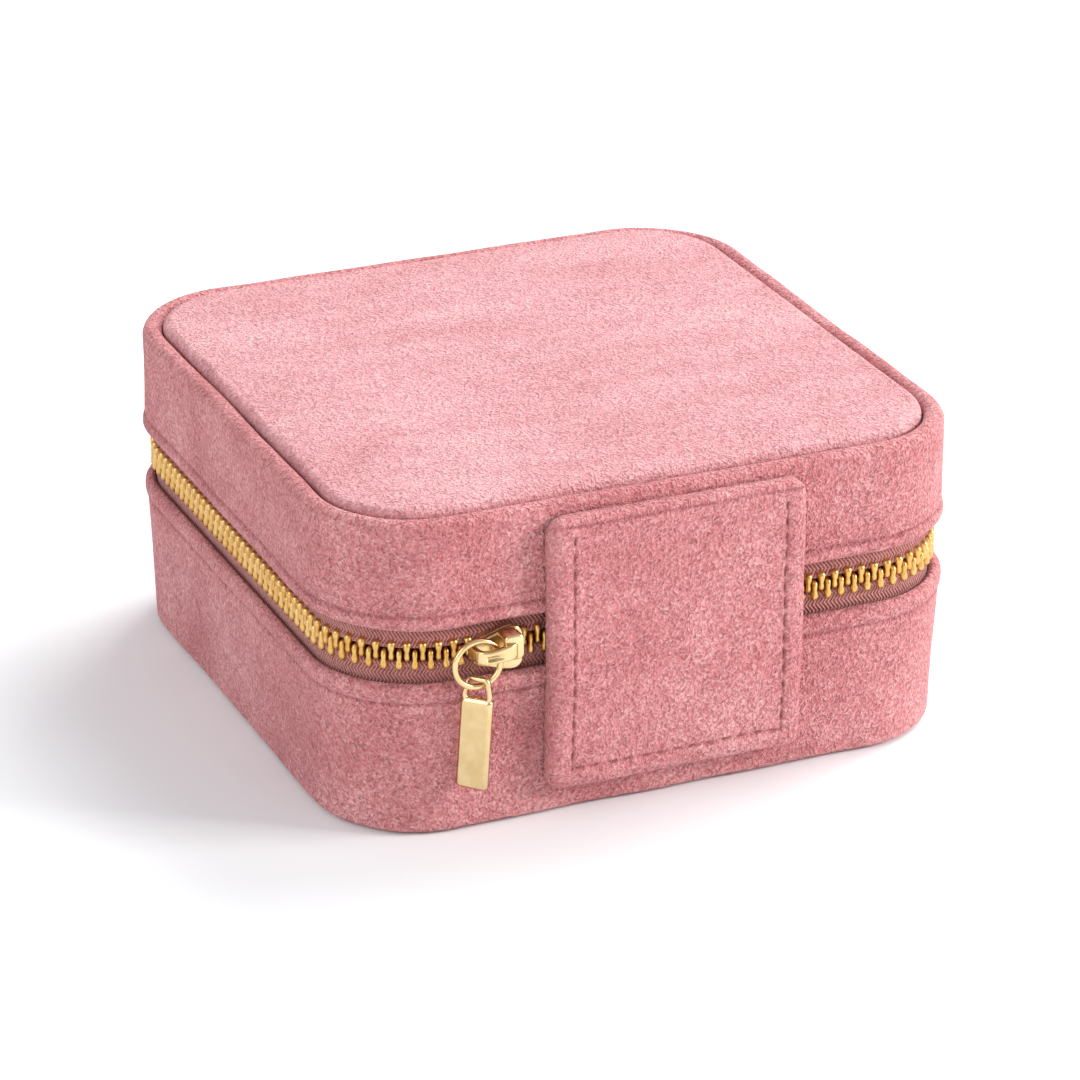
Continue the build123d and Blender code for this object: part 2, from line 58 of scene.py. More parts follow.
# ---------------------------------------------------------------- sizes taken from the frame
base_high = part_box("base_wrap")[1]
lid_low, lid_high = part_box("lid_wrap")
HALF = lid_high.x
CORNER = 17 * MM
BASE_LIP = base_high.z
LID_LIP = lid_low.z
ZIP = (BASE_LIP + LID_LIP) / 2
TAPER = 1.0 * MM
# A slab placed with these axes lies against a -Y face, with its thickness outwards.
OUTWARD = ((1, 0, 0), (0, 0, 1), (0, -1, 0))
WALL_STATIONS = 720


# ---------------------------------------------------------------- shapes
def follow(distance, half_x, half_y, radius, start_x=0.0):
    """Core points and outward directions at distances along a rounded rectangle.

    The outline is a disc of the corner radius carried round a core rectangle: on the straight runs
    the core point moves and the direction stays, on the corners the core point stays and the
    direction turns a quarter. The walk starts on the -Y side at start_x and goes towards +X."""
    core_x, core_y = half_x - radius, half_y - radius
    arc = radius * math.pi / 2
    runs = [core_x - start_x, arc, 2 * core_y, arc, 2 * core_x, arc, 2 * core_y, arc, core_x + start_x]
    knots = np.concatenate([[0], np.cumsum(runs)])
    x = np.interp(distance, knots, [start_x] + [core_x] * 4 + [-core_x] * 4 + [start_x])
    y = np.interp(distance, knots, [-core_y] * 3 + [core_y] * 4 + [-core_y] * 3)
    angle = np.interp(distance, knots, np.radians([-90, -90, 0, 0, 90, 90, 180, 180, 270, 270]))
    return np.stack([x, y], -1), np.stack([np.cos(angle), np.sin(angle)], -1)


def outline_length(half_x, half_y, radius):
    """Length of a rounded rectangle: four sides without their corners, and one whole circle."""
    return 4 * (half_x + half_y - 2 * radius) + 2 * math.pi * radius


def carried(distance, half_x, half_y, radius, inset, height, start_x=0.0):
    """Grid of a profile carried round a rounded rectangle.

    Point = core + direction * (radius - inset), at the profile's height. Past half the corner
    radius the outline shrinks evenly to the centre instead, so a profile may run to the middle."""
    core, out = follow(distance, half_x, half_y, radius, start_x)
    inset, height = np.broadcast_arrays(inset, height)
    inset = np.broadcast_to(inset, (len(core), inset.shape[-1]))
    height = np.broadcast_to(height, inset.shape)
    near = np.minimum(inset, radius / 2)
    shrink = 1 - (inset - near) / (min(half_x, half_y) - radius / 2)
    flat = (core[:, None] + out[:, None] * (radius - near)[..., None]) * shrink[..., None]
    return np.concatenate([flat, height[..., None]], -1)


def bend(centre, height, radius, start, end, count):
    """Part of a circle in a profile: inset = centre - r cos(a), height = height + r sin(a)."""
    angle = np.radians(np.linspace(start, end, count))
    return np.stack([centre - radius * np.cos(angle), height + radius * np.sin(angle)])


def run(a, b, count):
    """Straight part of a profile from point a up to, but not including, point b."""
    share = np.linspace(0, 1, count, endpoint=False)
    return np.stack([a[0] + (b[0] - a[0]) * share, a[1] + (b[1] - a[1]) * share])


def profile(*parts):
    """Parts of a profile joined in order, from millimetres to metres: insets, heights."""
    joined = np.concatenate(parts, 1) * MM
    return joined[0], joined[1]


def grid_faces(rows, columns, closed_rows, closed_columns):
    """Four-cornered faces of a grid whose normal is (along the rows) x (along the columns)."""
    i = np.arange(rows if closed_rows else rows - 1)[:, None]
    j = np.arange(columns if closed_columns else columns - 1)[None]
    i, j = np.broadcast_arrays(i, j)
    after_i, after_j = (i + 1) % rows, (j + 1) % columns
    corners = [i * columns + j, after_i * columns + j, after_i * columns + after_j, i * columns + after_j]
    return np.stack(corners, -1).reshape(-1, 4)


def skin(grid, closed_rows=True, closed_columns=False, capped=False):
    """Points and faces of a grid; capped closes its first and last columns to their middle points."""
    rows, columns = grid.shape[:2]
    points = grid.reshape(-1, 3)
    faces = [grid_faces(rows, columns, closed_rows, closed_columns)]
    if capped:
        first, last = grid[:, 0].mean(0), grid[:, -1].mean(0)
        points = np.concatenate([points, first[None], last[None]])
        i = np.arange(rows)
        after = (i + 1) % rows
        base = rows * columns
        faces.append(np.stack([np.full(rows, base), after * columns, i * columns], -1))
        edge = columns - 1
        faces.append(np.stack([i * columns + edge, after * columns + edge, np.full(rows, base + 1)], -1))
    return points, faces


def joined(skins):
    """Several skins as one: their points one after another, and their faces counted on."""
    points, faces, start = [], [], 0
    for part_points, part_faces in skins:
        points.append(part_points)
        faces.extend(face + start for face in part_faces)
        start += len(part_points)
    return np.concatenate(points), faces


def repeated(grids):
    """Many equal capped grids, shape (copies, rows, columns, 3), as one skin."""
    copies, rows, columns = grids.shape[:3]
    one_points, one_faces = skin(grids[0], capped=True)
    poles = np.stack([grids[:, :, 0].mean(1), grids[:, :, -1].mean(1)], 1)
    points = np.concatenate([grids.reshape(copies, -1, 3), poles], 1)
    shift = (np.arange(copies) * len(one_points))[:, None, None]
    faces = [(face[None] + shift).reshape(-1, face.shape[1]) for face in one_faces]
    return points.reshape(-1, 3), faces


def placed(part, origin, a=(1, 0, 0), b=(0, 1, 0), c=(0, 0, 1)):
    """A skin turned to the axes a, b, c and moved to origin."""
    points, faces = part
    return points @ np.array([a, b, c], float) + np.array(origin, float), faces


def make(name, part, finish, body, crease=None, weave=None):
    """A mesh piece from a skin. crease is 0 to 1 at each point, the share of painted shade that the velvet
    and suede finishes lay there; weave is a distance and a height.
    """
    points, faces = part
    mesh = bpy.data.meshes.new(name)
    sides = np.concatenate([np.full(len(face), face.shape[1]) for face in faces])
    corners = np.concatenate([face.reshape(-1) for face in faces]).astype(np.int32)
    starts = np.concatenate([[0], np.cumsum(sides)[:-1]])
    mesh.vertices.add(len(points))
    mesh.vertices.foreach_set("co", points.astype(np.float32).ravel())
    mesh.loops.add(len(corners))
    mesh.loops.foreach_set("vertex_index", corners)
    mesh.polygons.add(len(sides))
    mesh.polygons.foreach_set("loop_start", starts.astype(np.int32))
    mesh.polygons.foreach_set("loop_total", sides.astype(np.int32))
    mesh.polygons.foreach_set("use_smooth", np.full(len(sides), True))
    mesh.update(calc_edges=True)
    mesh.validate()
    if crease is not None:
        layer = mesh.attributes.new("crease", "FLOAT", "POINT")
        layer.data.foreach_set("value", np.asarray(crease, np.float32))
    if weave is not None:
        layer = mesh.uv_layers.new(name="weave")
        layer.data.foreach_set("uv", np.asarray(weave, np.float32)[corners].ravel())
    mesh.materials.append(finish)
    piece = bpy.data.objects.new(name, mesh)
    bpy.context.scene.collection.objects.link(piece)
    if body is not None:
        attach(piece, body)
    return piece


def ripple(points, size, height, waves=7, seed=3):
    """Soft unevenness: twice the mean of sine waves of about one size in random directions, times height."""
    local = np.random.default_rng(seed)
    direction = local.normal(size=(3, waves))
    direction /= np.linalg.norm(direction, axis=0)
    stretch = local.uniform(0.6, 1.7, waves)
    phase = local.uniform(0, 2 * math.pi, waves)
    return height * np.sin(points @ direction * stretch * 2 * math.pi / size + phase).mean(-1) * 2


def bell(value, middle, width):
    """Smooth bump of height 1 at middle: exp(-((value - middle) / width) squared)."""
    return np.exp(-(((value - middle) / width) ** 2))


def ramp(value, start, end):
    """0 before start and 1 after end, with the smooth step 3t^2 - 2t^3 between."""
    share = np.clip((value - start) / (end - start), 0, 1)
    return share * share * (3 - 2 * share)


def slab(half_x, half_y, radius, thickness, edge, rows=96, crown=0.0, turns=6):
    """Closed plate: a bend at the foot, a bend at the top, and a crowned face.

    With turns of 2 each bend is a flat chamfer, kept crisp by a row of points beside it."""
    reach = min(half_x, half_y)
    steps = np.array([0.15, 0.4, 0.7, 0.9 if turns > 2 else 0.985])
    inner = reach - (reach - edge) * steps
    foot_bend = bend(edge, edge, edge, -90, 0, turns)
    top_bend = bend(edge, thickness - edge, edge, 0, 90, turns)
    inset = np.concatenate([inner, foot_bend[0], top_bend[0], inner[::-1]])
    rise = crown * (1 - (1 - (inner[::-1] - edge) / (reach - edge)) ** 2)
    height = np.concatenate([np.zeros(4), foot_bend[1], top_bend[1], thickness + rise])
    distance = np.linspace(0, outline_length(half_x, half_y, radius), rows, endpoint=False)
    return skin(carried(distance, half_x, half_y, radius, inset, height), capped=True)


def power(wave, squareness):
    """A sine or cosine pushed towards +-1: sign * |wave| ^ squareness."""
    return np.sign(wave) * np.abs(wave) ** squareness


def swept(path, across, half_across, half_up, rows, squareness):
    """Bar along a path: a squarish oval spanned by the across direction and Z at every station."""
    angle = np.linspace(0, 2 * math.pi, rows, endpoint=False)[:, None, None]
    side = power(np.cos(angle), squareness) * (half_across[:, None] * across)[None]
    rise = power(np.sin(angle), squareness) * (half_up[:, None] * np.array([0.0, 0.0, 1.0]))[None]
    return path[None] + side + rise


# ---------------------------------------------------------------- finishes
class Wire:
    """A shader socket that takes part in ordinary arithmetic; each operation adds its Math node."""

    def __init__(self, finish, socket):
        self.finish = finish
        self.socket = socket

    def step(self, operation, *values):
        return self.finish.node("ShaderNodeMath", {"operation": operation}, dict(enumerate(values)))

    def __add__(self, other):
        return self.step("ADD", self, other)

    def __radd__(self, other):
        return self.step("ADD", other, self)

    def __sub__(self, other):
        return self.step("SUBTRACT", self, other)

    def __rsub__(self, other):
        return self.step("SUBTRACT", other, self)

    def __mul__(self, other):
        return self.step("MULTIPLY", self, other)

    def __truediv__(self, other):
        return self.step("DIVIDE", self, other)

    def __abs__(self):
        return self.step("ABSOLUTE", self)

    def fraction(self):
        """What is left after the whole number."""
        return self.step("FRACT", self)

    def pingpong(self, top):
        """Up from 0 to top and down again, over and over."""
        return self.step("PINGPONG", self, top)


class Finish:
    """A material under construction: one Principled shader and the nodes that feed it."""

    def __init__(self, name, **constants):
        self.material = bpy.data.materials.new(name)
        self.material.use_nodes = True
        self.tree = self.material.node_tree
        self.shader = self.tree.nodes["Principled BSDF"]
        for socket, value in constants.items():
            self.shader.inputs[socket.replace("_", " ")].default_value = value

    def node(self, kind, settings, inputs, output=0):
        """Adds one node: its settings first, then the values or links of its sockets."""
        made = self.tree.nodes.new(kind)
        for key, value in settings.items():
            setattr(made, key, value)
        for key, value in inputs.items():
            if isinstance(value, Wire):
                self.tree.links.new(value.socket, made.inputs[key])
            else:
                made.inputs[key].default_value = value
        return Wire(self, made.outputs[output])

    def noise(self, place, scale, detail=2.0, roughness=0.5, distortion=0.0):
        """Noise of a size in steps per metre, from 0 to 1."""
        inputs = {"Vector": place, "Scale": scale, "Detail": detail, "Roughness": roughness,
                  "Distortion": distortion}
        return self.node("ShaderNodeTexNoise", {}, inputs, "Fac")

    def turned(self, place, degrees, stretch):
        """Coordinates turned about Z and stretched."""
        inputs = {"Vector": place, "Rotation": (0, 0, math.radians(degrees)), "Scale": stretch}
        return self.node("ShaderNodeMapping", {}, inputs)

    def place(self):
        """Coordinates of the piece itself, in metres."""
        return self.node("ShaderNodeTexCoord", {}, {}, "Object")

    def narrow(self, value, low, high):
        """0 at low, 1 at high, held between."""
        return self.node("ShaderNodeMapRange", {}, {"Value": value, "From Min": low, "From Max": high})

    def tint(self, share, first, second):
        """Colour between two colours or wires."""
        inputs = {0: share, 6: first, 7: second}
        return self.node("ShaderNodeMix", {"data_type": "RGBA", "clamp_factor": True}, inputs, 2)

    def feed(self, **wires):
        """Links wires to the shader's sockets and returns the finished material."""
        for socket, wire in wires.items():
            self.tree.links.new(wire.socket, self.shader.inputs[socket.replace("_", " ")])
        return self.material

    def bump(self, height, strength, distance):
        """Normal of a height."""
        inputs = {"Height": height, "Strength": strength, "Distance": distance}
        return self.node("ShaderNodeBump", {}, inputs)


def paint(red, green, blue):
    """A colour given as display values 0 to 255, as linear light."""
    part = np.array([red, green, blue]) / 255
    linear = np.where(part <= 0.04045, part / 12.92, ((part + 0.055) / 1.055) ** 2.4)
    return (*linear.tolist(), 1.0)


def velvet(name, deep, body, tip, nap_degrees, nap_share):
    """Short-pile velvet: curls about 0.9 mm apart, tufts of 0.4 mm, brushed streaks and pressure marks.

    Pile = 0.45 curl + 0.55 tuft, where curl is 1 - |noise - 0.5| / 0.22 and so runs in thin lines."""
    cloth = Finish(name, Sheen_Weight=0.24, Sheen_Roughness=0.4, Sheen_Tint=(1.0, 0.84, 0.86, 1.0),
                   Specular_IOR_Level=0.1)
    place = cloth.place()
    curl = 1 - cloth.narrow(abs(cloth.noise(place, 1150, 0.6, 0.5, 0.8) - 0.5), 0.0, 0.22)
    tuft = cloth.narrow(cloth.noise(place, 2300, 1.0, 0.5, 0.5), 0.28, 0.72)
    fibre = cloth.noise(place, 6200, 2.0, 0.6)
    streak = cloth.noise(cloth.turned(place, nap_degrees, (34, 120, 90)), 1.0, 3.0, 0.55, 0.4)
    cloud = cloth.noise(place, 55, 3.0, 0.55, 0.5)
    crease = cloth.node("ShaderNodeAttribute", {"attribute_name": "crease"}, {}, "Fac")
    pile = curl * 0.45 + tuft * 0.55
    mark = cloth.narrow(cloud, 0.3, 0.72) * (1 - nap_share) + cloth.narrow(streak, 0.3, 0.7) * nap_share
    # Partly painted light: the colour follows the pile height, so the gaps are painted darker as painted
    # shade and the high tips lighter as painted highlight. The marks and fibres add the cloth's own random
    # tone.
    shade = pile * 0.55 + mark * 0.28 + fibre * 0.17
    colour = cloth.tint(cloth.narrow(shade, 0.12, 0.52), deep, body)
    colour = cloth.tint(cloth.narrow(shade, 0.52, 0.86), colour, tip)
    # Painted shade: where the crease attribute is set (seam grooves, folds, the rim crease, hidden faces)
    # the colour is pulled up to 70 % of the way to a dark rose.
    colour = cloth.tint(crease * 0.7, colour, paint(132, 60, 66))
    height = pile * 0.85 + fibre * 0.15 + mark * 0.25
    return cloth.feed(Base_Color=colour, Roughness=0.95 - pile * 0.12,
                      Normal=cloth.bump(height, 1.0, 0.58 * MM))


def woven_tape(name, deep, light):
    """Herringbone tape: yarns 0.6 mm wide that lean one way in one 1.1 mm band and back in the next."""
    cloth = Finish(name, Sheen_Weight=0.25, Sheen_Roughness=0.5, Sheen_Tint=(1.0, 0.85, 0.85, 1.0),
                   Specular_IOR_Level=0.2)
    weave = cloth.node("ShaderNodeUVMap", {"uv_map": "weave"}, {})
    along = cloth.node("ShaderNodeSeparateXYZ", {}, {0: weave}, "X")
    up = cloth.node("ShaderNodeSeparateXYZ", {}, {0: weave}, "Y")
    lean = (up / (1.1 * MM)).pingpong(1.0)
    yarn = (along / (0.6 * MM) + lean * 1.3).fraction()
    rib = 1 - abs(yarn - 0.5) * 2
    grain = cloth.noise(cloth.place(), 2600, 2.0, 0.6)
    patch = cloth.noise(cloth.place(), 260, 2.0, 0.5)
    shade = rib * 0.4 + grain * 0.45 + patch * 0.15
    colour = cloth.tint(cloth.narrow(shade, 0.28, 0.68), deep, light)
    return cloth.feed(Base_Color=colour, Roughness=0.9 - rib * 0.15,
                      Normal=cloth.bump(rib * 0.7 + grain * 0.6, 1.0, 0.26 * MM))


def suede(name, deep, light, size=900):
    """Flat microfibre lining: a fine short nap with faint clouds."""
    cloth = Finish(name, Sheen_Weight=0.35, Sheen_Roughness=0.5, Sheen_Tint=(1.0, 0.9, 0.88, 1.0),
                   Specular_IOR_Level=0.12)
    place = cloth.place()
    nap = cloth.noise(place, size, 3.0, 0.6, 0.5)
    fibre = cloth.noise(cloth.turned(place, 25, (1, 3, 1)), size * 3, 2.0, 0.6)
    cloud = cloth.noise(place, 70, 3.0, 0.5)
    crease = cloth.node("ShaderNodeAttribute", {"attribute_name": "crease"}, {}, "Fac")
    shade = nap * 0.4 + cloud * 0.4 + fibre * 0.2
    colour = cloth.tint(cloth.narrow(shade, 0.32, 0.68), deep, light)
    # Painted shade: where the crease attribute is set the colour is pulled up to 60 % of the way to a dark
    # brown-pink.
    colour = cloth.tint(crease * 0.6, colour, paint(130, 78, 76))
    return cloth.feed(Base_Color=colour, Roughness=0.96 - nap * 0.1,
                      Normal=cloth.bump(nap * 0.7 + fibre * 0.3, 0.4, 0.15 * MM))


def gilt(name, colour, worn, roughness):
    """Plated zinc: fine polishing lines, a faint cloudiness, and a little casting unevenness."""
    metal = Finish(name, Metallic=1.0)
    place = metal.place()
    lines = metal.noise(metal.turned(place, 12, (900, 5200, 900)), 1.0, 2.0, 0.5)
    cloud = metal.noise(place, 420, 3.0, 0.55)
    dents = metal.noise(place, 900, 1.0, 0.4)
    tone = metal.tint(metal.narrow(cloud, 0.35, 0.75), colour, worn)
    return metal.feed(Base_Color=tone, Roughness=roughness + lines * 0.08 + cloud * 0.1,
                      Normal=metal.bump(dents * 0.7 + lines * 0.15, 0.12, 0.12 * MM))


def card(name, deep, light):
    """Pressed grey board: long fibres and specks."""
    board = Finish(name, Specular_IOR_Level=0.25)
    place = board.place()
    fibre = board.noise(board.turned(place, 20, (1, 5, 1)), 700, 4.0, 0.6)
    speck = board.narrow(board.noise(place, 2600, 1.0, 0.5), 0.6, 0.75)
    colour = board.tint(board.narrow(fibre * 0.85 + speck * 0.15, 0.3, 0.75), deep, light)
    return board.feed(Base_Color=colour, Roughness=0.8 + fibre * 0.15,
                      Normal=board.bump(fibre, 0.35, 0.12 * MM))


def foam_cells(name, deep, light):
    """Open foam: round cells about half a millimetre wide."""
    foam = Finish(name, Specular_IOR_Level=0.2)
    place = foam.place()
    cell = foam.node("ShaderNodeTexVoronoi", {}, {"Vector": place, "Scale": 2000.0}, "Distance")
    patch = foam.noise(place, 120, 2.0, 0.5)
    colour = foam.tint(foam.narrow(cell * 0.7 + patch * 0.3, 0.1, 0.6), deep, light)
    return foam.feed(Base_Color=colour, Roughness=0.9 + cell * 0.08, Normal=foam.bump(cell, 0.5, 0.2 * MM))


def silvered(name):
    """Mirror glass: even silvering with the faintest cloudiness."""
    glass = Finish(name, Metallic=1.0)
    haze = glass.noise(glass.place(), 90, 2.0, 0.5)
    colour = glass.tint(haze, (0.86, 0.88, 0.88, 1), (0.93, 0.94, 0.94, 1))
    return glass.feed(Base_Color=colour, Roughness=0.015 + haze * 0.02)


# The walls and the top are one velvet. The top copy is painted lighter and paler than the walls, as painted
# sheen for the light that falls on the top, and its nap streaks are laid at another angle.
rose_wall = velvet(
    "rose_velvet_wall", paint(162, 82, 84), paint(208, 131, 133), paint(242, 186, 186), 20, 0.25)
rose_top_painted_light = velvet(
    "rose_velvet_top_painted_sheen", paint(188, 112, 116), paint(223, 158, 162), paint(243, 196, 198), 52, 0.6)
rose_tape = woven_tape("mauve_zip_tape", paint(112, 54, 52), paint(208, 138, 130))
rose_thread = suede("rose_sewing_thread", paint(134, 62, 68), paint(178, 100, 104), 3000)
blush_lining = suede("blush_microfibre_lining", paint(196, 134, 130), paint(226, 172, 166))
blush_roll = suede("blush_roll_cover", paint(204, 142, 138), paint(234, 184, 178), 1100)
pale_gilt = gilt("pale_gilt", paint(222, 192, 138), paint(236, 212, 164), 0.16)
tooth_gilt = gilt("tooth_gilt", paint(214, 166, 92), paint(234, 196, 128), 0.26)
grey_card = card("grey_card", paint(120, 112, 104), paint(168, 160, 150))
white_foam = foam_cells("white_foam", paint(196, 192, 184), paint(236, 234, 228))
silver_mirror = silvered("silver_mirror")


# ---------------------------------------------------------------- velvet walls
wall_length = outline_length(HALF, HALF, CORNER)
wall_distance = np.linspace(0, wall_length, WALL_STATIONS, endpoint=False)
STITCH = 2.6 * MM


def stitch_wave(distance):
    """Pull of a row of stitches along a seam: deepest once every stitch."""
    return 0.75 + 0.25 * np.cos(2 * math.pi * distance / STITCH)


def wall(name, insets, heights, outer, seam_height, lip_height, tapered, body, nodes):
    """Velvet wall: the profile carried round the box, with a sewn line and a padded band at the lip.

    Inset = profile + 0.3 mm groove at the seam - 0.28 mm sin(pi share) between seam and lip
    - soft unevenness + the taper of the base, which grows evenly from its lip to its foot. outer is 1
    on the outer face and 0 on the hidden inner face."""
    inset = np.broadcast_to(insets, (WALL_STATIONS, len(insets))).copy()
    flat = carried(wall_distance, HALF, HALF, CORNER, insets, heights)
    share = np.clip((heights - seam_height) / (lip_height - seam_height), 0, 1)
    groove = bell(heights, seam_height, 0.3 * MM) * outer
    inset += stitch_wave(wall_distance)[:, None] * groove * 0.3 * MM
    inset -= 0.28 * MM * np.sin(math.pi * share) * outer
    inset -= (ripple(flat, 26 * MM, 0.16 * MM) + ripple(flat, 9 * MM, 0.05 * MM, seed=8)) * outer
    if tapered:
        inset += TAPER * np.clip(1 - heights / BASE_LIP, 0, 1) * outer
    grid = carried(wall_distance, HALF, HALF, CORNER, inset, heights)
    # Painted shade: the crease mask darkens the sewn groove and the hidden inner face of the wall.
    crease = np.broadcast_to(groove * 0.55, grid.shape[:2])
    crease = np.maximum(crease, 1 - outer[None])
    piece = make(name, skin(grid, closed_columns=True), rose_wall, body, crease.ravel())
    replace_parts(piece, *nodes)


def base_profile():
    """Base wall: turned under at the foot, up the face, over a rolled lip, and down the inside."""
    return profile(
        run((3.35, 0.34), (2.1, 0.3), 4),
        bend(1.1, 1.4, 1.1, -90, 0, 9),
        run((0, 1.9), (0, 19.4), 34),
        run((0, 19.4), (0, 23.4), 26),
        bend(0.8, 23.4, 0.8, 0, 180, 13),
        run((1.6, 23.0), (1.6, 1.75), 8),
        run((1.6, 1.72), (3.35, 1.62), 3),
    )


def lid_profile():
    """Lid wall: a rolled lip below, up the face, over the rim welt, and down into the top crease."""
    return profile(
        bend(0.8, 33.3, 0.8, 180, 360, 13),
        run((0, 33.45), (0, 36.6), 22),
        run((0, 36.6), (0, 47.5), 22),
        bend(1.6, 47.55, 1.6, 0, 180, 19),
        run((3.2, 47.5), (1.6, 47.24), 3),
        run((1.6, 47.2), (1.6, 33.6), 7),
    )


insets, heights = base_profile()
outer_face = np.concatenate([np.ones(4 + 9 + 34 + 26 + 7), np.zeros(6 + 8 + 3)])
wall("base_velvet", insets, heights, outer_face, 21.2 * MM, BASE_LIP, True, "base", ["base_wrap"])

insets, heights = lid_profile()
outer_face = np.concatenate([np.zeros(5), np.ones(8 + 22 + 22 + 17), np.full(2, 0.5), np.zeros(3 + 7)])
wall("lid_velvet", insets, heights, outer_face, 34.8 * MM, LID_LIP, False, "lid", ["lid_wrap"])


def crowned_top():
    """Padded top: a skin that comes up out of the rim crease in a tight bend and rises to a low crown.

    Height over the face = 49.85 + 0.35 (1 - exp(-(inset - 4.9) / 7)) mm and soft unevenness."""
    face = np.concatenate([np.linspace(5.0, 9.0, 14), np.linspace(9.7, 49.2, 56)])
    rise = 49.85 + 0.35 * (1 - np.exp(-(face - 4.9) / 7))
    insets, heights = profile(
        np.array([[48.0, 30.0, 12.0, 5.4, 4.75, 4.6, 4.55], [49.3, 49.3, 49.3, 49.3, 49.2, 48.3, 47.25]]),
        np.array([[4.0, 3.45, 3.34, 3.3], [47.24, 47.28, 47.6, 48.2]]),
        bend(4.9, 48.25, 1.6, 0, 90, 12),
        np.stack([face, rise]),
    )
    grid = carried(wall_distance, HALF, HALF, CORNER, insets, heights)
    shown = ramp(np.arange(len(insets)), 14, 24)
    uneven = ripple(grid, 30 * MM, 0.17 * MM, seed=21) + ripple(grid, 11 * MM, 0.05 * MM, seed=5)
    grid[..., 2] += uneven * shown
    # Painted shade: the skin is darkened below 49.3 mm, where it comes up out of the rim crease.
    crease = np.broadcast_to(1 - ramp(heights, 47.6 * MM, 49.3 * MM), grid.shape[:2]).ravel()
    crease = np.concatenate([crease, [1, 0]])
    piece = make("lid_top_velvet", skin(grid, capped=True), rose_top_painted_light, "lid", crease)
    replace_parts(piece, "lid_top_cover")


crowned_top()

# ---------------------------------------------------------------- hinge panel
panel_low, panel_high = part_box("hinge_panel_lower")[0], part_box("hinge_panel_upper")[1]
PANEL_HALF = panel_high.x
PANEL_FACE = panel_low.y
PANEL_Z = (panel_low.z + panel_high.z) / 2
PANEL_TALL = (panel_high.z - panel_low.z) / 2
SEAM_IN = 3.4 * MM
PANEL_CORNER = 2.4 * MM


def panel_seams(x, z):
    """Depth of the sewn line: 3.4 mm in from the left, right and lower edges, none along the top."""
    below_top = ramp(panel_high.z - z, 1.2 * MM, 3.4 * MM)
    above_foot = ramp(z - panel_low.z, SEAM_IN - 0.6 * MM, SEAM_IN)
    between = 1 - ramp(np.abs(x), PANEL_HALF - SEAM_IN, PANEL_HALF - SEAM_IN + 0.6 * MM)
    sides = bell(np.abs(x), PANEL_HALF - SEAM_IN, 0.24 * MM) * below_top * above_foot
    foot = bell(z, panel_low.z + SEAM_IN, 0.24 * MM) * between
    wave = np.where(sides > foot, np.cos(2 * math.pi * z / STITCH), np.cos(2 * math.pi * x / STITCH))
    return np.maximum(sides, foot), 0.72 + 0.28 * wave


def hinge_panel():
    """Covered hinge panel: a thick rolled edge, a sewn line inside it, and a nearly flat field.

    Stand-off = profile + 0.2 mm on the roll outside the sewn line - 0.34 mm in the line - 0.22 mm in
    the fold along the top - 0.12 mm over the field, with soft unevenness."""
    fine = np.linspace(2.6, 4.2, 15)
    field = np.concatenate([np.linspace(4.5, 9, 8), np.linspace(9.8, 19.6, 11)])
    insets, heights = profile(
        np.array([[18.0, 10.0, 4.0, 1.0], [0.0, 0.0, 0.0, 0.02]]),
        bend(0.6, 0.6, 0.6, -80, 0, 5),
        bend(1.35, 1.65, 1.35, 0, 90, 12),
        np.stack([np.linspace(1.7, 2.4, 4), np.full(4, 3.0)]),
        np.stack([fine, np.full(15, 3.0)]),
        np.stack([field, np.full(19, 3.0)]),
    )
    rows = 520
    distance = np.linspace(0, outline_length(PANEL_HALF, PANEL_TALL, PANEL_CORNER), rows, endpoint=False)
    local = carried(distance, PANEL_HALF, PANEL_TALL, PANEL_CORNER, insets, heights)
    x, z, stand = local[..., 0], local[..., 1] + PANEL_Z, local[..., 2]
    front = ramp(heights, 1.2 * MM, 2.8 * MM)
    depth, wave = panel_seams(x, z)
    roll = ramp(insets, 1.0 * MM, 2.0 * MM) * (1 - ramp(insets, 2.2 * MM, 3.8 * MM))
    fold = bell(z, panel_high.z - 1.05 * MM, 0.22 * MM)
    fold = fold * (1 - ramp(np.abs(x), PANEL_HALF - 2 * MM, PANEL_HALF))
    stand = stand + front * (roll * 0.2 * MM - depth * wave * 0.34 * MM - fold * 0.22 * MM)
    sunk = ramp(insets, 3.4 * MM, 4.6 * MM) * 0.12 * MM
    stand = stand - front * sunk
    wobble = np.stack([x, z, stand], -1)
    uneven = ripple(wobble, 17 * MM, 0.14 * MM, seed=31) + ripple(wobble, 6 * MM, 0.05 * MM, seed=4)
    stand = stand + front * uneven
    x = x + ripple(wobble, 13 * MM, 0.07 * MM, seed=12)
    z = z + ripple(wobble, 15 * MM, 0.07 * MM, seed=13)
    setback = TAPER * np.clip((BASE_LIP - z) / BASE_LIP, 0, 1)
    grid = np.stack([x, -HALF + setback - stand, z], -1)
    # Painted shade: the crease mask darkens the stitch dimples, the fold along the top, and the back edge
    # where the panel meets the wall.
    crease = np.maximum(depth * np.clip(wave * 1.6 - 0.55, 0, 1) * front, fold * 0.6 * front)
    crease = np.maximum(crease, 1 - ramp(heights, 0.1 * MM, 0.9 * MM))
    crease = np.concatenate([crease.ravel(), [1, 0]])
    piece = make("hinge_panel_velvet", skin(grid, capped=True), rose_wall, None, crease)
    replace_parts(piece, "hinge_panel_lower", "hinge_panel_upper")
    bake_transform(piece)


hinge_panel()


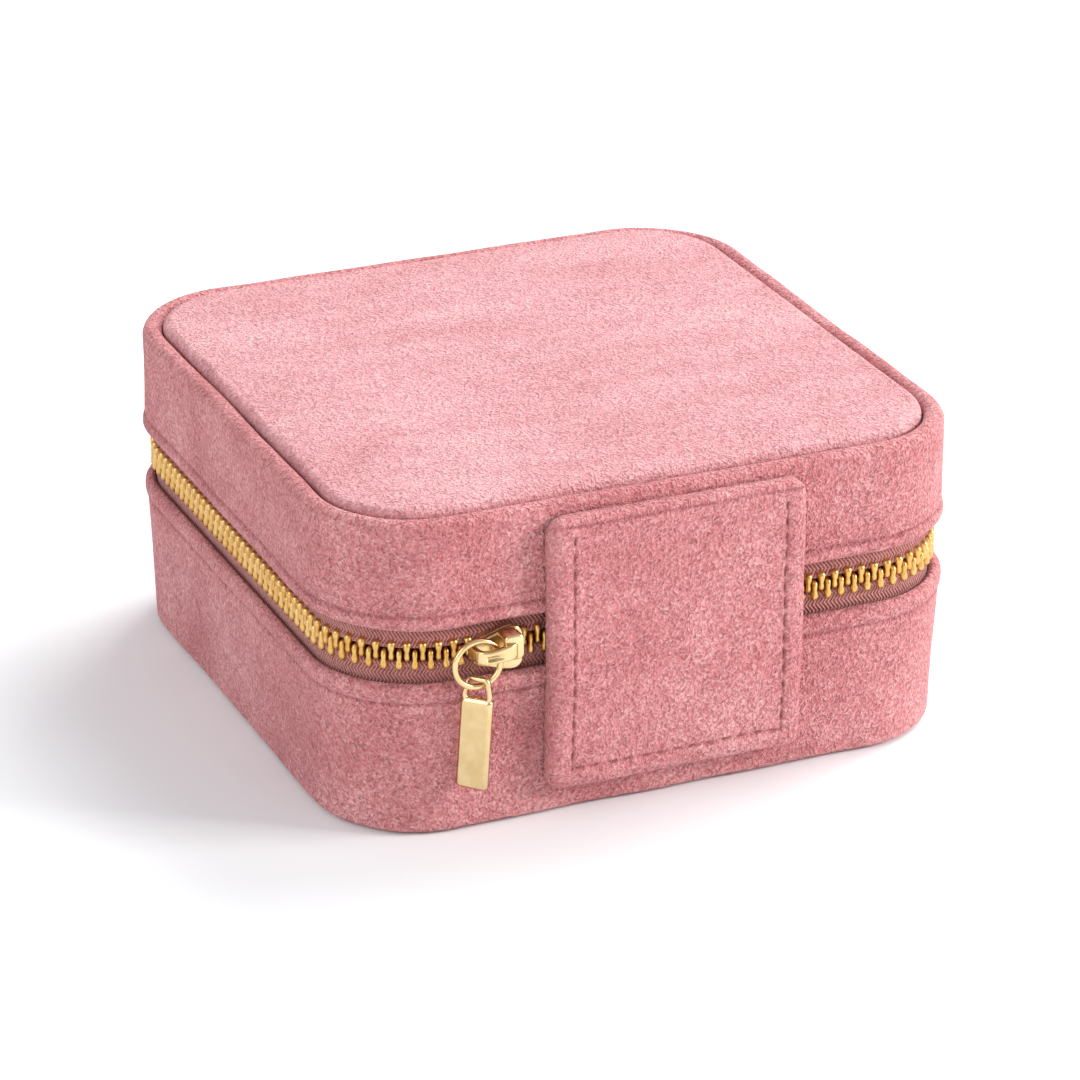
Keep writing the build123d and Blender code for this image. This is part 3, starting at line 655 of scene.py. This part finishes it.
def stitch_row(name, centres, along, out, body):
    """Sewing thread: one small oval bar for every stitch, lying along the seam in its groove."""
    share = np.linspace(-0.92, 0.92, 5)
    swell = np.sqrt(1 - share**2)
    angle = np.linspace(0, 2 * math.pi, 6, endpoint=False)
    across = np.cross(along, out)
    length = 0.36 * STITCH
    thick = 0.13 * MM
    a = np.einsum("r,c,nk->nrck", np.cos(angle), swell * thick, out)
    b = np.einsum("r,c,nk->nrck", np.sin(angle), swell * thick, across)
    path = np.einsum("c,nk->nck", share * length, along)[:, None]
    sag = np.einsum("c,nk->nck", (swell - 0.6) * 0.12 * MM, out)[:, None]
    grids = centres[:, None, None] + a + b + path + sag
    make(name, repeated(grids), rose_thread, body)


def panel_threads():
    """Stitches of the hinge panel, split between the two bodies so that each half carries its own."""
    foot_z = panel_low.z + SEAM_IN
    side_z = np.arange(foot_z + STITCH / 2, panel_high.z - 2.4 * MM, STITCH)
    foot_x = np.arange(-PANEL_HALF + SEAM_IN + STITCH / 2, PANEL_HALF - SEAM_IN, STITCH)
    seam_x = PANEL_HALF - SEAM_IN
    x = np.concatenate([np.full(len(side_z), -seam_x), np.full(len(side_z), seam_x), foot_x])
    z = np.concatenate([side_z, side_z, np.full(len(foot_x), foot_z)])
    upright = np.concatenate([np.ones(2 * len(side_z)), np.zeros(len(foot_x))])
    along = np.stack([1 - upright, 0 * upright, upright], -1)
    out = np.tile([0.0, -1.0, 0.0], (len(x), 1))
    setback = TAPER * np.clip((BASE_LIP - z) / BASE_LIP, 0, 1)
    centres = np.stack([x, PANEL_FACE + setback + 0.36 * MM, z], -1)
    for body, chosen in (("base", z < ZIP - 2.6 * MM), ("lid", z > ZIP + 2.6 * MM)):
        stitch_row(f"panel_thread_{body}", centres[chosen], along[chosen], out[chosen], body)


panel_threads()


def hinge_strip():
    """Lining strip behind the panel: a thin closed slab."""
    low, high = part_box("hinge_strip_lower")[0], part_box("hinge_strip_upper")[1]
    middle = (low + high) / 2
    part = slab((high.x - low.x) / 2, (high.z - low.z) / 2, 1.0 * MM, high.y - low.y, 0.25 * MM, rows=220)
    part = placed(part, (middle.x, high.y, middle.z), *OUTWARD)
    piece = make("hinge_strip_lining", part, blush_lining, None)
    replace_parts(piece, "hinge_strip_lower", "hinge_strip_upper")
    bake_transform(piece)


hinge_strip()

# ---------------------------------------------------------------- zip
CHAIN_IN = 1.9 * MM
CHAIN_END_X = 18.6 * MM
TAPE_END_X = 14.9 * MM
PITCH = 2.15 * MM
TOOTH_FOOT = 2.15 * MM
chain_radius = CORNER - CHAIN_IN
chain_half = HALF - CHAIN_IN


def tape(name, insets, heights, body, node):
    """Zip tape: a flat band with a round bead along its toothed edge, carried round all four sides.

    It is a tube of the profile's outline, closed by one flat face at each end."""
    length = outline_length(HALF, HALF, CORNER) - 2 * TAPE_END_X
    distance = np.linspace(0, length, WALL_STATIONS)
    grid = carried(distance, HALF, HALF, CORNER, insets, heights, start_x=TAPE_END_X)
    weave = np.stack(np.broadcast_arrays(distance[:, None], grid[..., 2]), -1).reshape(-1, 2)
    points, faces = skin(grid, closed_rows=False, closed_columns=True)
    columns = len(insets)
    ends = [np.arange(columns)[None], (np.arange(columns)[::-1] + (WALL_STATIONS - 1) * columns)[None]]
    piece = make(name, (points, faces + ends), rose_tape, body, weave=weave)
    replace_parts(piece, node)


lower_tape_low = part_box("zip_tape_lower")[0].z / MM
upper_tape_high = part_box("zip_tape_upper")[1].z / MM
insets, heights = profile(
    run((1.66, lower_tape_low), (1.66, 23.8), 3),
    run((1.66, 24.0), (1.66, 26.5), 8),
    bend(1.9, 26.85, 0.5, -30, 210, 10),
    run((2.2, 26.4), (2.2, lower_tape_low), 4),
)
tape("zip_tape_base", insets, heights, "base", "zip_tape_lower")
insets, heights = profile(
    bend(1.9, 29.85, 0.5, 150, 390, 10),
    run((1.66, 30.2), (1.66, 32.8), 8),
    run((1.66, 33.0), (1.66, upper_tape_high), 4),
    run((2.2, upper_tape_high), (2.2, 30.3), 4),
)
tape("zip_tape_lid", insets, heights, "lid", "zip_tape_upper")


def tooth_row(name, first, upwards, body, node):
    """One row of zip teeth: a squarish foot clamped on the bead, a waist, and a rounded head.

    Half width along the chain and half thickness across it are given at seven heights."""
    level = np.array([0.0, 0.3, 1.05, 1.55, 2.3, 2.8, 3.05]) * MM
    half_along = np.array([0.4, 0.6, 0.54, 0.36, 0.44, 0.38, 0.2]) * MM
    half_across = np.array([0.85, 1.16, 1.18, 1.02, 1.12, 0.98, 0.5]) * MM
    foot = ZIP - upwards * TOOTH_FOOT
    length = outline_length(chain_half, chain_half, chain_radius) - 2 * CHAIN_END_X
    distance = np.arange(first, length - PITCH / 4, PITCH)
    core, out = follow(distance, chain_half, chain_half, chain_radius, CHAIN_END_X)
    middle = core + out * chain_radius
    along = np.stack([-out[:, 1], out[:, 0]], -1)
    angle = np.linspace(0, 2 * math.pi, 8, endpoint=False) + math.pi / 8
    across_share = np.einsum("r,c->rc", power(np.cos(angle), 0.6), half_across)
    along_share = np.einsum("r,c->rc", power(np.sin(angle), 0.6), half_along)
    flat = middle[:, None, None] + across_share[None, ..., None] * out[:, None, None]
    flat = flat + along_share[None, ..., None] * along[:, None, None]
    height = np.broadcast_to(foot + upwards * level, flat.shape[:3])
    grids = np.concatenate([flat, height[..., None]], -1)
    if upwards < 0:
        grids = grids[:, :, ::-1]
    piece = make(name, repeated(grids), tooth_gilt, body)
    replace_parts(piece, node)


tooth_row("zip_teeth_base", PITCH / 4, 1, "base", "zip_teeth_lower")
tooth_row("zip_teeth_lid", 3 * PITCH / 4, -1, "lid", "zip_teeth_upper")

# ---------------------------------------------------------------- slider, ring and tab
slider_low, slider_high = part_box("slider_body")
SLIDER_X = (slider_low.x + slider_high.x) / 2
SLIDER_HALF_X = (slider_high.x - slider_low.x) / 2


def slider():
    """Zip slider: two plates that widen from tail to nose, tape flanges, a wedge, a nose block, a strap.

    Plate height is scaled by 0.62 at the tail, rising with the smooth step to 1 at the nose. The strap
    is a bar on a squarish arch, x = middle + 2.95 cos^0.42, y = plate - 3.45 sin^0.5, with a slot sunk
    into its face beside the ring."""
    shell = []
    for face_y, thickness in ((-49.55 * MM, 0.9 * MM), (-45.75 * MM, 0.9 * MM)):
        plate = slab(SLIDER_HALF_X, 3.3 * MM, 1.5 * MM, thickness, 0.3 * MM, crown=0.08 * MM)
        shell.append(placed(plate, (SLIDER_X, face_y, ZIP), *OUTWARD))
    for side in (-1, 1):
        for low_y in (-48.71 * MM, -46.56 * MM):
            flange = slab(SLIDER_HALF_X - 1.3 * MM, 0.42 * MM, 0.2 * MM, 0.9 * MM, 0.12 * MM, rows=40)
            origin = (SLIDER_X, low_y, ZIP + side * 2.85 * MM)
            shell.append(placed(flange, origin, *OUTWARD))
    points, faces = joined(shell)
    widen = 0.62 + 0.38 * ramp(points[:, 0], slider_low.x + 0.6 * MM, slider_high.x - 1.6 * MM)
    points[:, 2] = ZIP + (points[:, 2] - ZIP) * widen
    wedge = slab(0.6 * MM, 0.6 * MM, 0.3 * MM, 3.2 * MM, 0.1 * MM, rows=40)
    wedge = placed(wedge, (slider_high.x - 1.1 * MM, -46.5 * MM, ZIP + 1.75 * MM), *OUTWARD)
    nose = slab(1.5 * MM, 1.95 * MM, 0.85 * MM, 3.1 * MM, 0.36 * MM, rows=96, crown=0.12 * MM)
    nose = placed(nose, (slider_high.x - 2.5 * MM, -50.2 * MM, ZIP + 1.35 * MM), *OUTWARD)
    stations = 120
    turn = np.linspace(math.pi, 0, stations)
    x = slider_low.x + 2.6 * MM + 2.95 * MM * power(np.cos(turn), 0.42)
    y = -50.25 * MM - 3.45 * MM * power(np.sin(turn), 0.5)
    tangent = np.stack([np.gradient(x), np.gradient(y)], -1)
    tangent /= np.linalg.norm(tangent, axis=1)[:, None]
    across = np.stack([tangent[:, 1], -tangent[:, 0], np.zeros(stations)], -1)
    rise = ramp(x, slider_low.x + 0.8 * MM, slider_low.x + 5.2 * MM)
    path = np.stack([x, y, ZIP + (0.72 + 0.3 * rise) * MM], -1)
    thick = np.full(stations, 0.46 * MM)
    strap = swept(path, across, thick, (0.98 + 0.2 * rise) * MM, rows=72, squareness=0.4)
    slot_x = slider_low.x + 1.75 * MM
    sunk = ramp(1.25 * MM - np.abs(strap[..., 0] - slot_x), 0, 0.3 * MM)
    sunk = sunk * ramp(0.34 * MM - np.abs(strap[..., 2] - path[:, 2] + 0.2 * MM), 0, 0.16 * MM)
    sunk = sunk * (strap[..., 1] < -53.8 * MM)
    strap[..., 1] += 0.6 * MM * sunk
    parts = [(points, faces), wedge, nose, skin(strap[::-1], capped=True)]
    piece = make("zip_slider", joined(parts), pale_gilt, "slider")
    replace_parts(piece, "slider_body")


slider()


def pull_ring():
    """Ring through the bridge: a slightly squared wire carried round a circle beside the wall."""
    low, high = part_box("pull_ring")
    middle = (low + high) / 2
    wire = (high.y - low.y) / 2
    radius = (high.z - low.z) / 2 - wire
    turn = np.linspace(0, 2 * math.pi, 120, endpoint=False)[:, None]
    angle = np.linspace(0, 2 * math.pi, 20, endpoint=False)[None]
    reach = radius + wire * power(np.cos(angle), 0.8)
    x = middle.x + reach * np.cos(turn)
    z = middle.z + reach * np.sin(turn)
    y = middle.y + wire * power(np.sin(angle), 0.8) + 0 * turn
    part = skin(np.stack([x, y, z], -1)[::-1], closed_columns=True)
    piece = make("zip_ring", part, pale_gilt, "ring")
    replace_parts(piece, "pull_ring")


pull_ring()


def pull_tab():
    """Pull tab: a long bevelled plate under a tapering eye, hung on the ring with a slight lean.

    The eye is a squarish oval wire carried round a rounded trapezoid in the plane of the plate. The
    lean is x + 0.9 tan(4.2 degrees) y, and the tab is turned 46 degrees about Z."""
    low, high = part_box("pull_tab")
    ring_low, ring_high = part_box("pull_ring")
    wire = (ring_high.y - ring_low.y) / 2
    hang = np.array([(ring_low.x + ring_high.x) / 2, (ring_low.y + ring_high.y) / 2, ring_low.z + wire])
    eye_foot = 1.75 * MM
    tall = (hang[2] - eye_foot - low.z) / 2
    plate = slab(2.42 * MM, tall, 0.75 * MM, 1.2 * MM, 0.42 * MM, rows=160, turns=2)
    plate = placed(plate, (0, -eye_foot - tall, -0.6 * MM))
    outline = (1.95 * MM, 1.7 * MM, 0.75 * MM)
    stations = 96
    core, out = follow(np.linspace(0, 1, stations, endpoint=False) * outline_length(*outline), *outline)
    loop = core + out * 0.75 * MM
    taper = 1 - 0.22 * ramp(loop[:, 1], -1.5 * MM, 1.6 * MM)
    path = np.stack([loop[:, 0] * taper, loop[:, 1] - 0.5 * MM, np.zeros(stations)], -1)
    across = np.concatenate([out, np.zeros((stations, 1))], 1)
    wide, deep = np.full(stations, 0.36 * MM), np.full(stations, 0.42 * MM)
    eye = swept(path, across, wide, deep, rows=20, squareness=0.7)
    points, faces = joined([plate, skin(eye[::-1], closed_columns=True)])
    lean = math.radians(4.2)
    points[:, 0] += np.tan(lean) * points[:, 1] * 0.9
    twist = math.radians(46)
    right = (math.cos(twist), -math.sin(twist), 0)
    front = (-math.sin(twist), -math.cos(twist), 0)
    part = placed((points, faces), hang, right, (0, 0, 1), front)
    piece = make("zip_pull_tab", part, pale_gilt, "tab")
    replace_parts(piece, "pull_tab")


pull_tab()

# ---------------------------------------------------------------- linings, floor panel and boards
lining_distance = np.linspace(0, wall_length, 480, endpoint=False)


def lining(name, insets, heights, body, node):
    """Lining: one closed skin over the floor or ceiling, up the inner wall, and over its lip.

    Its wall waves by about 0.12 mm, fading with bell(height, lip, 14 mm)."""
    grid = carried(lining_distance, HALF, HALF, CORNER, insets, heights)
    shown = bell(heights, (BASE_LIP if body == "base" else LID_LIP), 14 * MM)
    grid[..., 0] += ripple(grid, 21 * MM, 0.12 * MM, seed=41) * shown
    grid[..., 1] += ripple(grid, 19 * MM, 0.12 * MM, seed=42) * shown
    piece = make(name, skin(grid, capped=True), blush_lining, body)
    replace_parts(piece, node)


insets, heights = profile(
    run((49.0, 3.2), (4.4, 3.2), 10),
    run((4.22, 3.3), (4.22, 22.9), 6),
    run((4.2, 23.1), (2.5, 23.2), 4),
    bend(2.6, 23.6, 0.36, -90, 90, 8),
    run((2.9, 23.98), (4.5, 24.0), 4),
    bend(4.5, 23.5, -0.5, -90, -180, 6),
    run((5.0, 23.0), (5.0, 5.2), 20),
    bend(6.2, 5.2, -1.2, 0, 90, 7),
    run((6.6, 4.0), (49.5, 4.0), 40),
)
lining("base_lining_cloth", insets, heights, "base", "base_lining")
insets, heights = profile(
    run((49.5, 44.8), (6.4, 44.8), 40),
    bend(6.2, 43.6, -1.2, -90, 0, 7),
    run((5.0, 43.4), (5.0, 33.5), 16),
    bend(4.5, 33.2, -0.5, 180, 90, 6),
    run((4.3, 32.7), (2.9, 32.72), 4),
    bend(2.6, 33.1, 0.36, -90, 90, 8),
    run((2.9, 33.48), (4.1, 33.5), 4),
    run((4.22, 33.7), (4.22, 45.5), 6),
    run((4.4, 45.6), (49.0, 45.6), 10),
)
lining("lid_lining_cloth", insets, heights, "lid", "lid_lining")

bottom_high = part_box("base_bottom_panel")[1]
bottom = slab(bottom_high.x, bottom_high.y, CORNER - 3.5 * MM, bottom_high.z, 0.5 * MM, rows=360)
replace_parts(make("bottom_panel_cloth", bottom, blush_lining, "base"), "base_bottom_panel")

for finish, names in (
    (pale_gilt, ("zip_stops_lower", "zip_stops_upper")),
    (grey_card, ("base_floor_board", "base_wall_board", "lid_top_board", "lid_wall_board",
                 "hinge_board_lower", "hinge_board_upper")),
    (white_foam, ("base_wall_foam", "lid_wall_foam", "lid_top_pad")),
    (silver_mirror, ("lid_mirror",)),
):
    for name in names:
        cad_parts[name].data.materials.clear()
        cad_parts[name].data.materials.append(finish)


def mirror_surround():
    """Padded frame round the mirror: a low cushion 9 mm wide with a rounded inner and outer edge."""
    low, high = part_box("mirror_frame")
    tall = (high.z - low.z) / MM
    insets, heights = profile(
        run((7.1, 0.0), (0.4, 0.0), 8),
        bend(0.8, 0.8, 0.8, -60, 0, 5),
        bend(1.3, tall - 1.3, 1.3, 0, 90, 8),
        run((1.6, tall + 0.05), (7.6, tall + 0.05), 8),
        bend(7.7, tall - 1.2, -1.3, -90, -180, 8),
        run((9.0, 1.3), (9.0, 0.82), 2),
        run((8.9, 0.81), (7.15, 0.8), 3),
    )
    corner = 13 * MM
    distance = np.linspace(0, outline_length(high.x, high.y, corner), 360, endpoint=False)
    core, out = follow(distance, high.x, high.y, corner)
    flat = core[:, None] + out[:, None] * (corner - insets)[None, :, None]
    grid = np.concatenate([flat, np.broadcast_to(heights, flat.shape[:2])[..., None]], -1)
    part = skin(grid, closed_columns=True)
    part = placed(part, (0, 0, high.z), (1, 0, 0), (0, -1, 0), (0, 0, -1))
    piece = make("mirror_frame_cloth", part, blush_roll, "lid")
    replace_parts(piece, "mirror_frame")


mirror_surround()


ENLARGED = 10
FILL_FRAMES = 16


def swollen(part, held, cap, pressure, slack):
    """A closed cushion blown up by Blender's Cloth at ten times its size, where cloth settles well.

    Points where held is 1 stay put, slack is the share by which the fabric is longer than the shape,
    and no point moves further than cap: move * min(1, cap / length of move)."""
    points, faces = part
    scene = bpy.context.scene
    piece = make("cushion_being_filled", (points * ENLARGED, faces), blush_roll, None)
    group = piece.vertex_groups.new(name="held")
    group.add(np.flatnonzero(held > 0.5).tolist(), 1.0, "REPLACE")
    settings = piece.modifiers.new("filling", "CLOTH").settings
    settings.quality = 6
    settings.mass = 0.3
    settings.vertex_group_mass = group.name
    settings.use_pressure = True
    settings.uniform_pressure_force = pressure
    settings.shrink_min = -slack
    settings.effector_weights.gravity = 0
    for step in range(1, FILL_FRAMES + 1):
        scene.frame_set(step)
    filled = piece.evaluated_get(bpy.context.evaluated_depsgraph_get()).data
    place = np.empty(len(points) * 3, np.float32)
    filled.vertices.foreach_get("co", place)
    move = place.reshape(-1, 3) / ENLARGED - points
    length = np.linalg.norm(move, axis=1)[:, None]
    scene.frame_set(1)
    bpy.data.objects.remove(piece)
    return points + move * np.minimum(1, cap / np.maximum(length, 1e-9)), faces


def ring_roll(index):
    """One foam roll of the ring cushion: a rounded cross-section carried along X with puffed ends.

    Section: |y/a|^2.8 + |z/b|^2.8 = 1, flattened below; the ends follow the corner of the box. The
    fabric is then blown up a little, with its foot and its ends held."""
    low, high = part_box(f"ring_roll_{index}")
    middle, half = (low + high) / 2, (high - low) / 2
    angle = np.linspace(0, 2 * math.pi, 64, endpoint=False)[:, None]
    share = np.linspace(-1, 1, 60)[None]
    swell = (1 - np.abs(share * 0.9995) ** 9) ** (1 / 3.2)
    y = middle.y + half.y * power(np.cos(angle), 0.72) * (0.2 + 0.8 * swell)
    z = middle.z + half.z * power(np.sin(angle), 0.72) * (0.25 + 0.75 * swell)
    z = np.maximum(z, low.z + 0.02 * MM)
    corner = 11.7 * MM
    reach = HALF - 5.3 * MM - corner
    past = np.clip(np.abs(y) - reach, 0, 11.69 * MM)
    left = -reach - np.sqrt(corner**2 - past**2)
    right = high.x
    x = left + (right - left) * (share + 1) / 2
    grid = np.stack([x, y, z], -1)
    pull = np.sin(angle * 9 + index) * bell(np.abs(share), 0.96, 0.06) * 0.12 * MM
    grid[..., 2] += (ripple(grid, 14 * MM, 0.16 * MM, seed=60 + index) + pull) * (z > low.z + 1 * MM)
    # Painted shade at the pinched ends of the roll.
    crease = np.broadcast_to(ramp(np.abs(share), 0.975, 1.0) * 0.8, grid.shape[:2]).ravel()
    held = (grid[..., 2] < low.z + 1.2 * MM) | (np.abs(share) > 0.95)
    part = skin(grid, capped=True)
    points, faces = swollen(part, np.concatenate([held.ravel(), [1, 1]]), 0.8 * MM, 4.0, 0.04)
    points[:, 1] = np.clip(points[:, 1], low.y, high.y)
    points[:, 2] = np.clip(points[:, 2], low.z, high.z + 0.5 * MM)
    piece = make(f"ring_roll_cushion_{index}", (points, faces), blush_roll, "base",
                 np.concatenate([crease, [1, 1]]))
    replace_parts(piece, f"ring_roll_{index}")


for index in range(1, 7):
    ring_roll(index)


def divider(name, node, along_x):
    """Covered divider: an upright slab with a rounded top edge and soft faces."""
    low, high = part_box(node)
    middle = (low + high) / 2
    long_half = (high.x - low.x) / 2 if along_x else (high.y - low.y) / 2
    thick = (high.y - low.y) if along_x else (high.x - low.x)
    part = slab(long_half, (high.z - low.z) / 2, 1.5 * MM, thick, 0.9 * MM, rows=200, crown=0.1 * MM)
    if along_x:
        part = placed(part, (middle.x, high.y, middle.z), *OUTWARD)
    else:
        part = placed(part, (low.x, middle.y, middle.z), (0, 1, 0), (0, 0, 1), (1, 0, 0))
    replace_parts(make(name, part, blush_lining, "base"), node)


divider("divider_long_cloth", "divider_long", False)
divider("divider_cross_cloth_1", "divider_cross_1", True)
divider("divider_cross_cloth_2", "divider_cross_2", True)

# ---------------------------------------------------------------- floor, light and camera
floor_finish = Finish("pale_floor", Specular_IOR_Level=0.1)
floor_noise = floor_finish.noise(floor_finish.place(), 14, 2.0, 0.5)
floor_colour = floor_finish.tint(floor_noise, (0.90, 0.915, 0.925, 1), (0.915, 0.93, 0.94, 1))
floor_material = floor_finish.feed(Base_Color=floor_colour, Roughness=0.85 + floor_noise * 0.05)
side = np.array([-3.0, 3.0])
floor_grid = np.stack(np.broadcast_arrays(side[:, None], side[None], np.zeros((2, 2))), -1)
floor = make("floor", skin(floor_grid, closed_rows=False), floor_material, None)


def soft_light(name, place, target, size, watts, colour):
    """Large square lamp aimed at a point."""
    lamp = bpy.data.lights.new(name, "AREA")
    lamp.shape = "SQUARE"
    lamp.size = size
    lamp.energy = watts
    lamp.color = colour
    holder = bpy.data.objects.new(name, lamp)
    holder.location = place
    holder.rotation_euler = (Vector(target) - Vector(place)).to_track_quat("-Z", "Y").to_euler()
    bpy.context.scene.collection.objects.link(holder)


soft_light("key_back_right", (0.75, 0.45, 0.95), (0, 0, 0.03), 0.8, 16.2, (1.0, 0.99, 0.975))
soft_light("side_right", (1.0, -0.6, 0.5), (0.02, 0, 0.03), 0.38, 13.4, (1.0, 0.985, 0.97))
soft_light("fill_left", (-1.15, -0.45, 0.7), (0, 0, 0.03), 0.9, 7.5, (1.0, 0.99, 0.985))

world = bpy.data.worlds.new("studio")
world.use_nodes = True
world.node_tree.nodes["Background"].inputs["Color"].default_value = (0.93, 0.965, 1.0, 1)
world.node_tree.nodes["Background"].inputs["Strength"].default_value = 0.58
bpy.context.scene.world = world
bpy.context.scene.view_settings.view_transform = "Standard"

target = Vector((0, 0, 0.0246))
azimuth, elevation, distance = math.radians(-23.39), math.radians(23.64), 0.7168
camera_data = bpy.data.cameras.new("camera")
camera_data.lens = 156.5
camera_data.sensor_width = 36
camera_data.shift_x = 0.0058
camera_data.shift_y = -0.0255
camera_data.clip_start = 0.01
camera = bpy.data.objects.new("camera", camera_data)
camera.location = target + distance * Vector((
    math.sin(azimuth) * math.cos(elevation), -math.cos(azimuth) * math.cos(elevation), math.sin(elevation)))
camera.rotation_euler = (target - camera.location).to_track_quat("-Z", "Y").to_euler()
bpy.context.scene.collection.objects.link(camera)
bpy.context.scene.camera = camera
